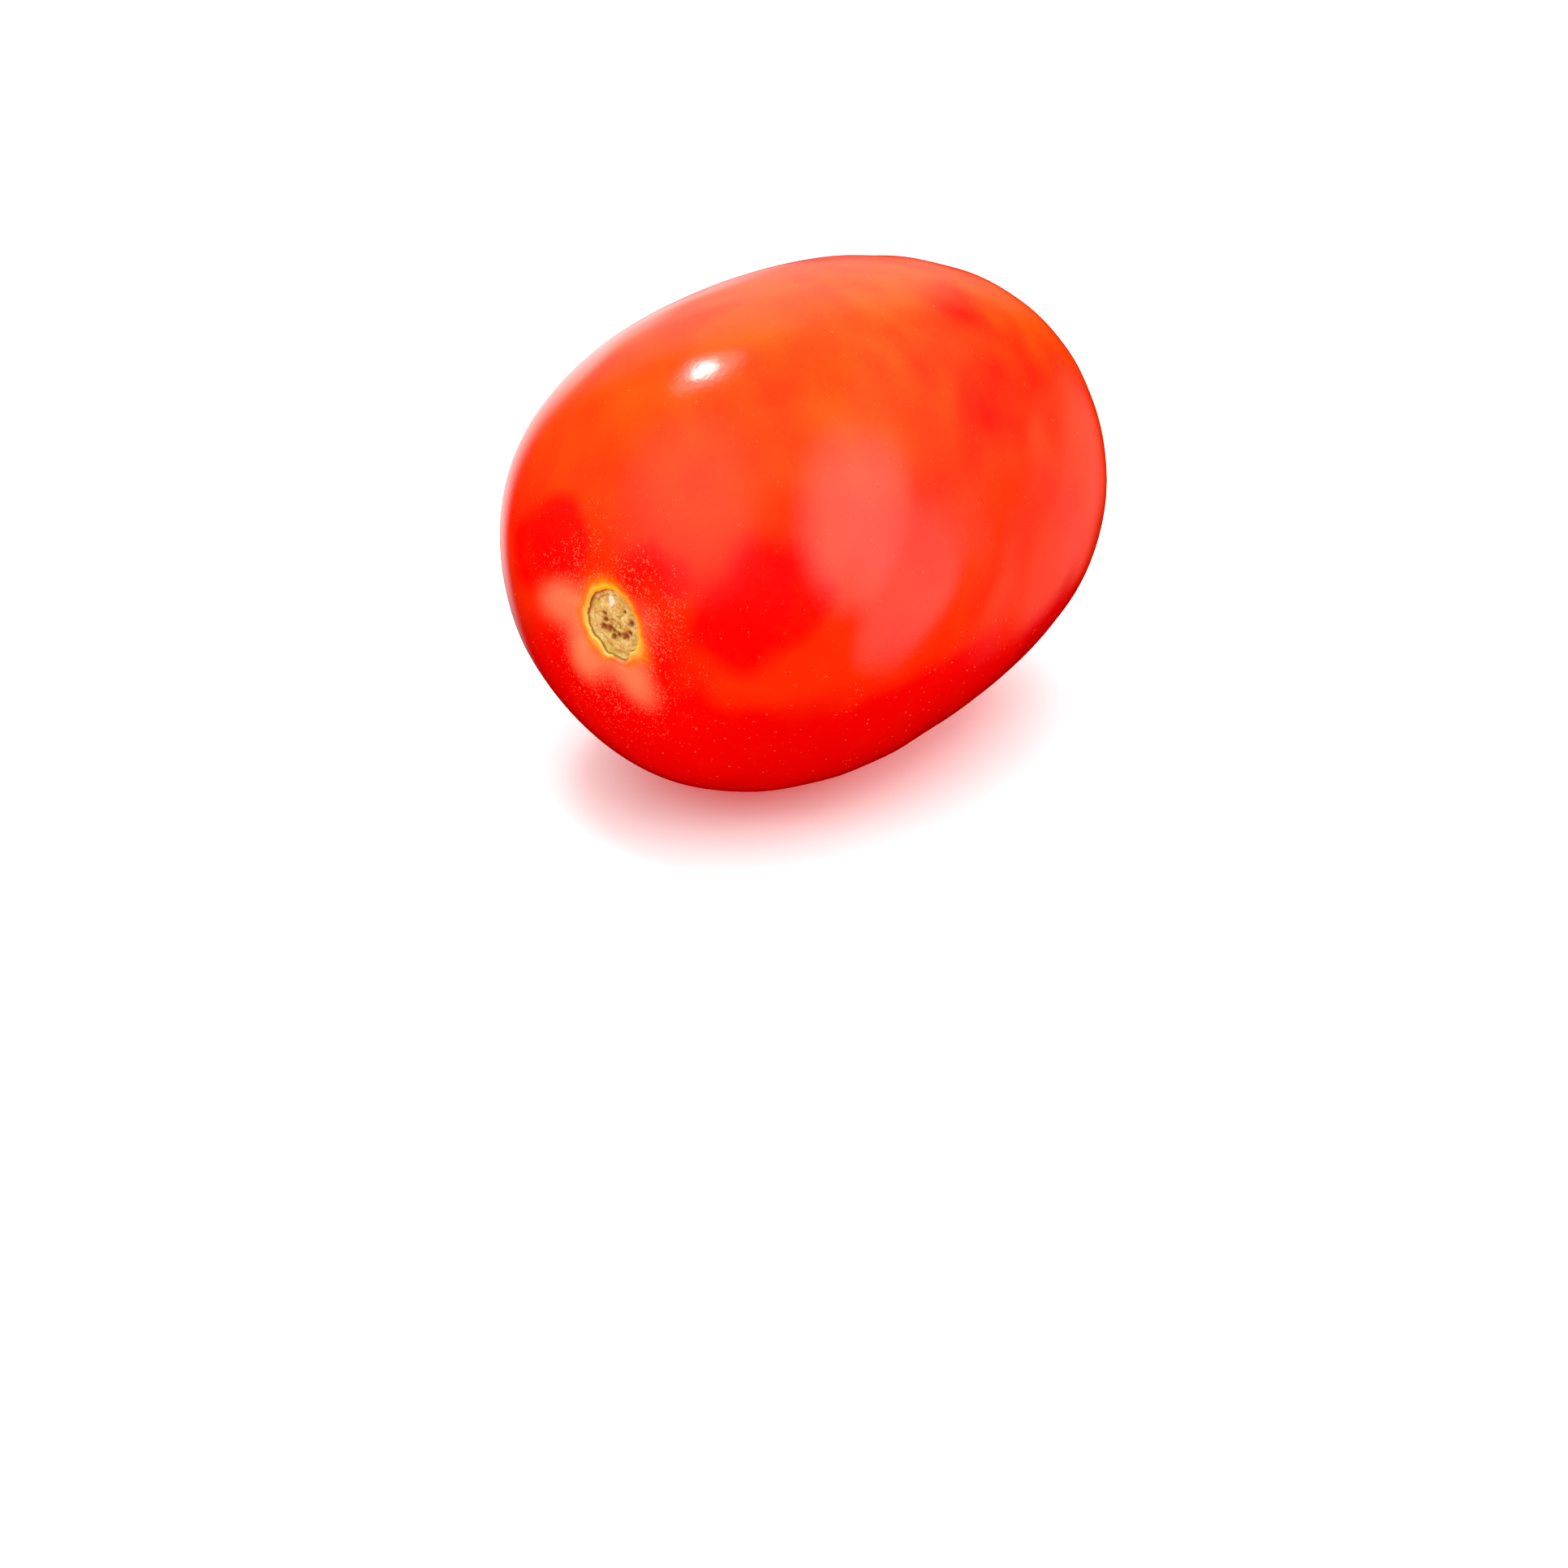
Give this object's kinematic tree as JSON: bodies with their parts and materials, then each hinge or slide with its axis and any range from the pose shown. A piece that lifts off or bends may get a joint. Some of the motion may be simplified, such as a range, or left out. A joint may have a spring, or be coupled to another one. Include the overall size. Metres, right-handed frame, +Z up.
{
  "type": "tomato",
  "caption": "Whole ripe plum tomato lying on its side: a blunt, slightly bent oval fruit with a corky stem scar at one end, for food, kitchen and table scenes.",
  "frame": {"origin": "on the flat rest spot, straight below the centre of mass", "axes": "+Z up, -Y towards the stem end, +X towards the hollow side of the fruit's slight bend"},
  "size_m": [0.0527, 0.071, 0.0516],
  "materials": {
    "ripe_skin": "smooth waxy red skin with orange mottling, a corky tan stem scar and fine pale specks around it"
  },
  "bodies": {
    "root": {"tomato": "ripe_skin"}
  },
  "joints": []
}
